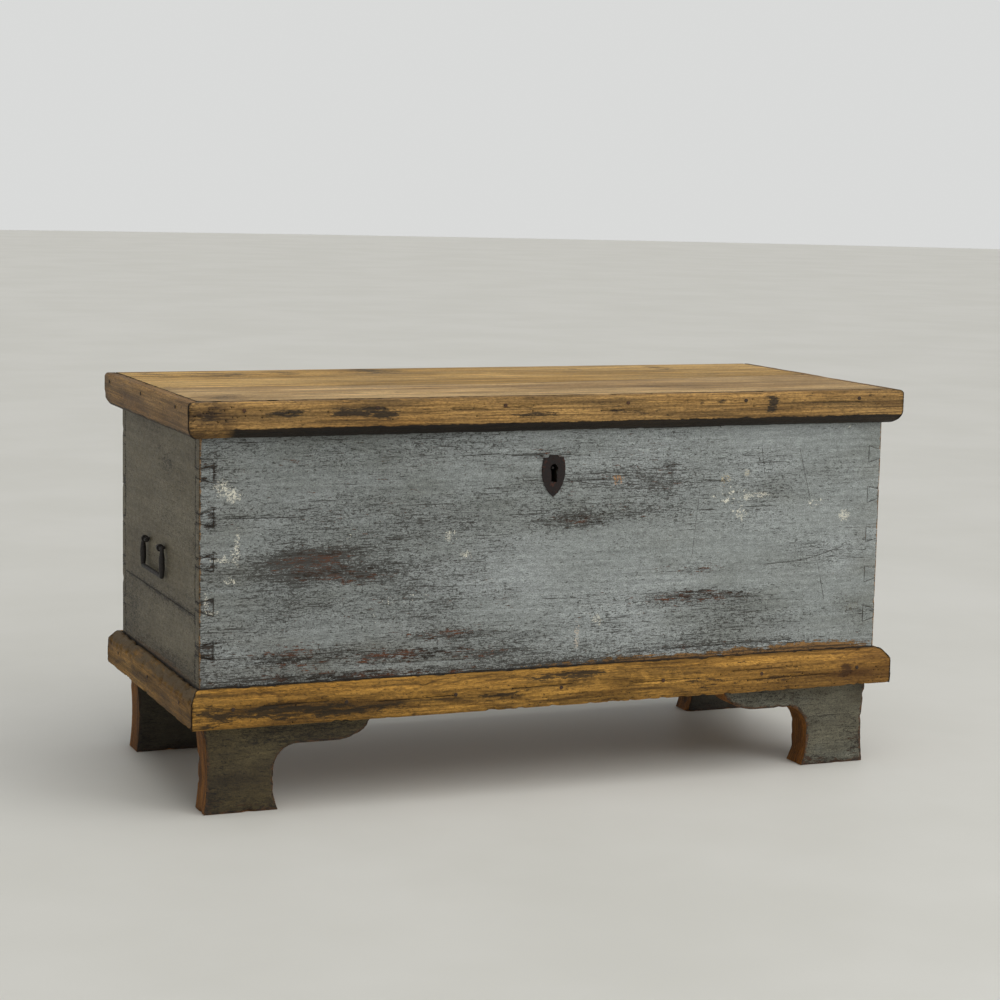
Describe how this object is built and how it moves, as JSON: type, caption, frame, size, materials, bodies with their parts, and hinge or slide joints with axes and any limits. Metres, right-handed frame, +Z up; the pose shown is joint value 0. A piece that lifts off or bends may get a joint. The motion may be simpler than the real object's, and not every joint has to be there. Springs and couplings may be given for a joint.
{
  "type": "wooden chest",
  "caption": "Painted pine blanket chest with a dovetailed case, hinged lid, box lock, end bail handles, plinth and scroll-cut plank feet.",
  "frame": {"origin": "centre of the footprint, on the floor", "axes": "+X to the chest's right seen from the front, the front faces -Y, +Z up"},
  "size_m": [1.1992, 0.5342, 0.624],
  "materials": {
    "blue_paint": "chalky grey-blue paint on pine, scratched and worn through to wood",
    "end_paint": "the same paint, darker and greyer with age, on the ends",
    "stripped_pine": "stripped and waxed pine with long grain, knots and dark streaks",
    "plinth_pine": "rough golden pine with traces of grey paint and worm holes",
    "foot_paint": "thin grey paint on pine, worn to brown at the edges",
    "raw_pine": "bare aged pine, matt",
    "rusted_iron": "dark red-brown rusted wrought iron",
    "black_iron": "black wrought iron, dull"
  },
  "bodies": {
    "case": {"front_upper_board": "blue_paint", "front_lower_board": "blue_paint", "back_upper_board": "blue_paint", "back_lower_board": "blue_paint", "left_upper_board": "end_paint", "left_lower_board": "end_paint", "right_upper_board": "end_paint", "right_lower_board": "end_paint", "bottom_front_board": "raw_pine", "bottom_middle_board": "raw_pine", "bottom_back_board": "raw_pine", "plinth_front": "plinth_pine", "plinth_back": "plinth_pine", "plinth_left": "plinth_pine", "plinth_right": "plinth_pine", "foot_front_left": "foot_paint", "foot_front_right": "foot_paint", "foot_back_left": "foot_paint", "foot_back_right": "foot_paint", "left_hinge_leaf": "black_iron", "left_hinge_pin": "black_iron", "right_hinge_leaf": "black_iron", "right_hinge_pin": "black_iron", "hinge_leaf_nails": "black_iron", "lock_plate": "rusted_iron", "lock_cover": "rusted_iron", "lock_key_pin": "black_iron", "lock_nails": "black_iron", "escutcheon": "rusted_iron", "escutcheon_nails": "rusted_iron", "left_handle_cotters": "black_iron", "right_handle_cotters": "black_iron", "plinth_nails": "black_iron", "bottom_nails": "black_iron", "foot_nails": "black_iron"},
    "lid": {"lid_front_board": "stripped_pine", "lid_back_board": "stripped_pine", "lid_edge_front": "stripped_pine", "lid_edge_left": "stripped_pine", "lid_edge_right": "stripped_pine", "lid_edge_nails": "black_iron", "left_hinge_strap": "black_iron", "right_hinge_strap": "black_iron", "hinge_strap_nails": "black_iron", "lid_staple": "rusted_iron", "lid_staple_nails": "black_iron"},
    "left_handle": {"left_handle_bail": "black_iron"},
    "right_handle": {"right_handle_bail": "black_iron"},
    "lock_bolt": {"lock_bolt": "black_iron"}
  },
  "joints": [
    {"name": "lid_hinge", "type": "hinge", "parent": "case", "child": "lid", "pos_m": [0, 0.246, 0.5915], "axis": [-1, 0, 0], "range_deg": [0, 105]},
    {"name": "left_handle_swing", "type": "hinge", "parent": "case", "child": "left_handle", "pos_m": [-0.5825, 0.01, 0.377], "axis": [0, 1, 0], "range_deg": [0, 100]},
    {"name": "right_handle_swing", "type": "hinge", "parent": "case", "child": "right_handle", "pos_m": [0.5825, 0.01, 0.377], "axis": [0, -1, 0], "range_deg": [0, 100]},
    {"name": "lock_bolt_slide", "type": "slide", "parent": "case", "child": "lock_bolt", "axis": [1, 0, 0], "range_m": [0, 0.014]}
  ]
}
